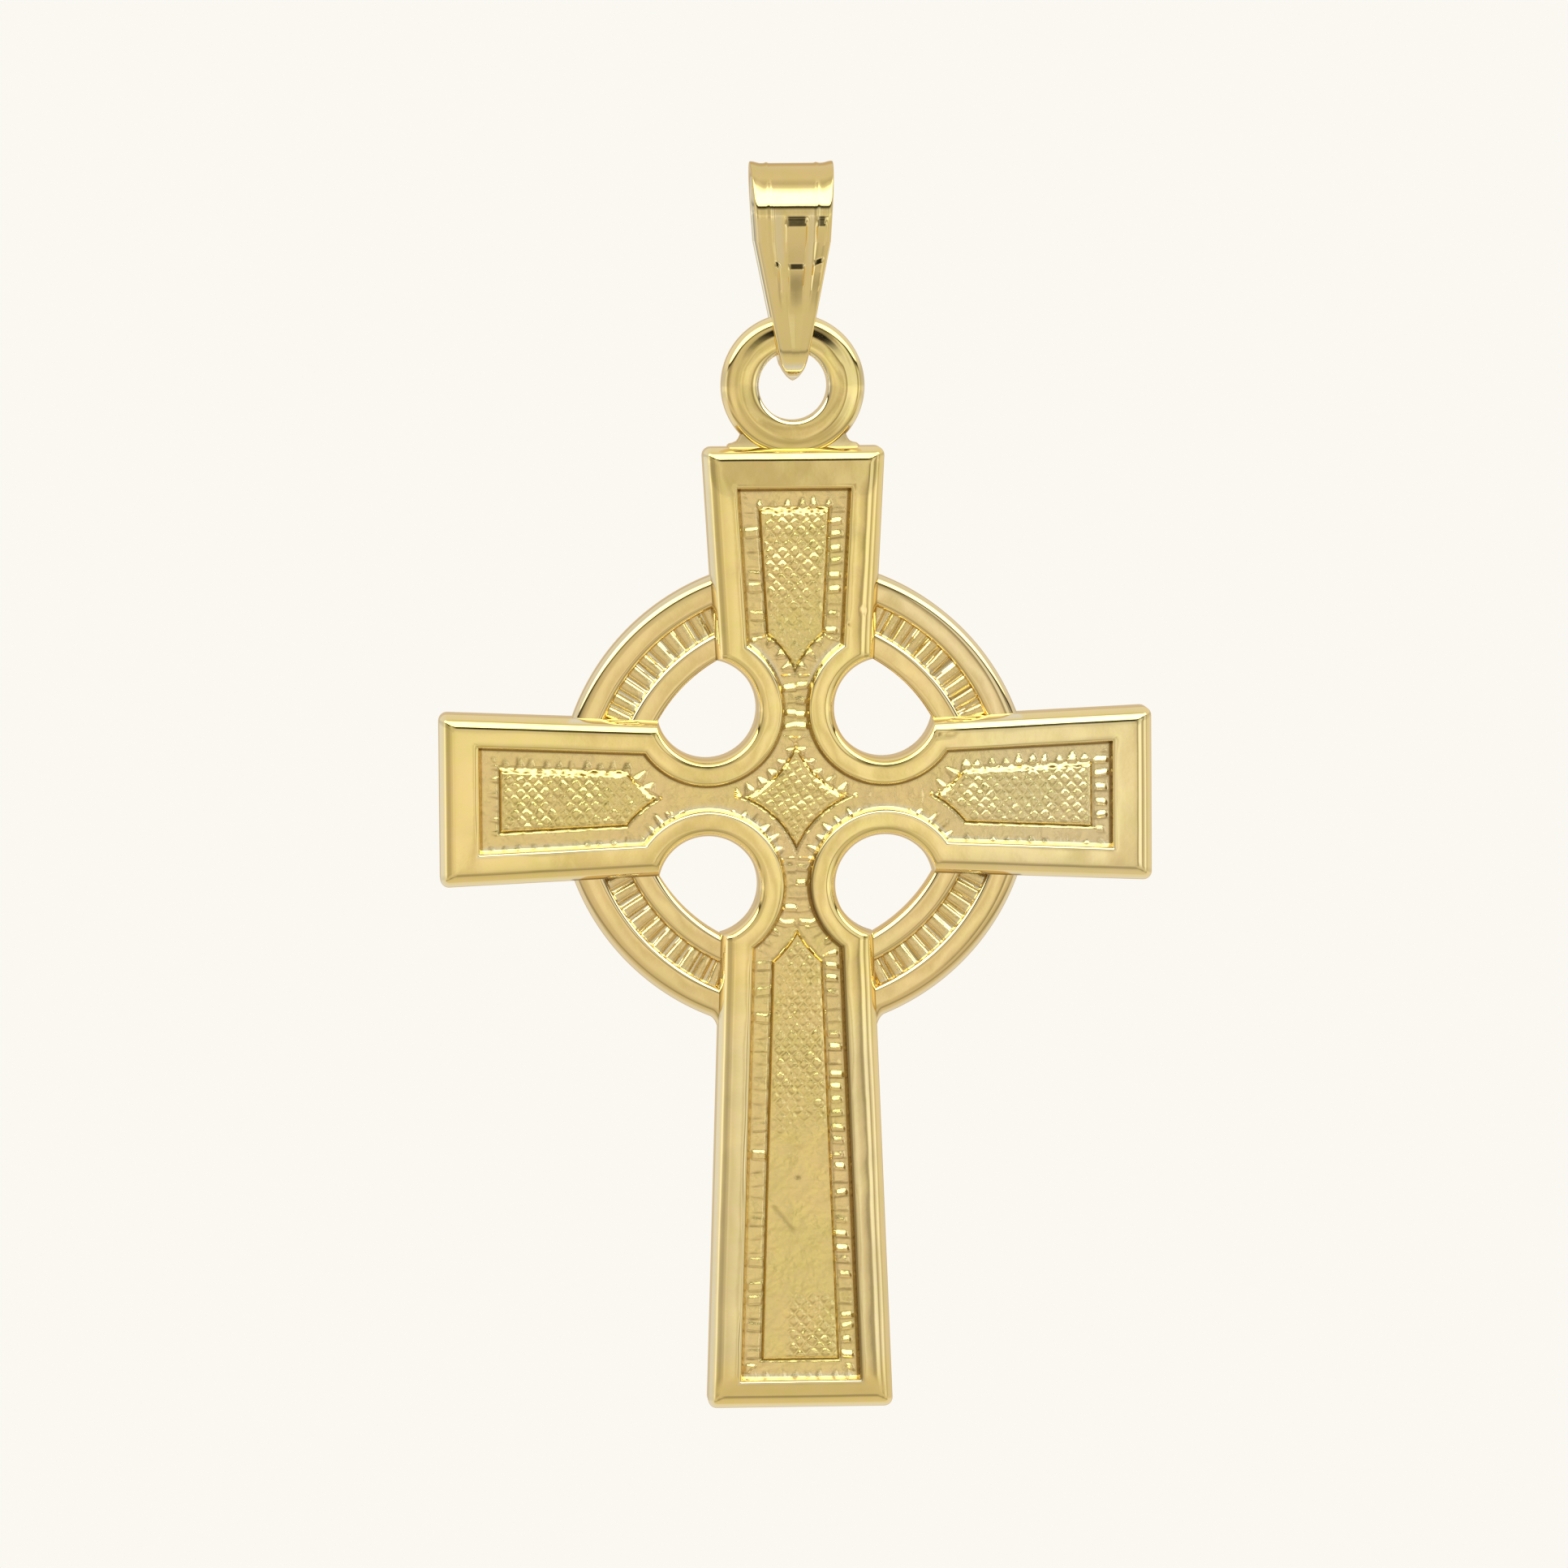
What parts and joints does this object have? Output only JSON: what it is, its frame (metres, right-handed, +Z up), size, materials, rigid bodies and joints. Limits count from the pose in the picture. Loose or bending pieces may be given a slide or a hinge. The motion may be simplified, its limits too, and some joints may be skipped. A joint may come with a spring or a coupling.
{
  "type": "celtic cross pendant",
  "caption": "Gold pendant: a flared cross with a ring behind its crossing, ribbed borders and hatched panels, hanging by its eye from a tapered strap bail.",
  "frame": {"origin": "highest point inside the bail, where the chain bears, on the pendant's mid line", "axes": "+Z up, towards the top of the bail; the relief faces -Y and the plain back faces +Y; X runs across the side arms and along the chain passage"},
  "size_m": [0.022, 0.0032, 0.0384],
  "materials": {
    "cast_gold": "yellow gold, polished rims over a satin cast relief",
    "bail_gold": "yellow gold, mirror polish"
  },
  "bodies": {
    "hanger": {"bail": "bail_gold"},
    "pendant": {"cross": "cast_gold"}
  },
  "joints": [
    {"name": "pendant_swing", "type": "hinge", "parent": "hanger", "child": "pendant", "pos_m": [0, 0, -0.00485], "axis": [1, 0, 0], "range_deg": [-90, 90]}
  ]
}
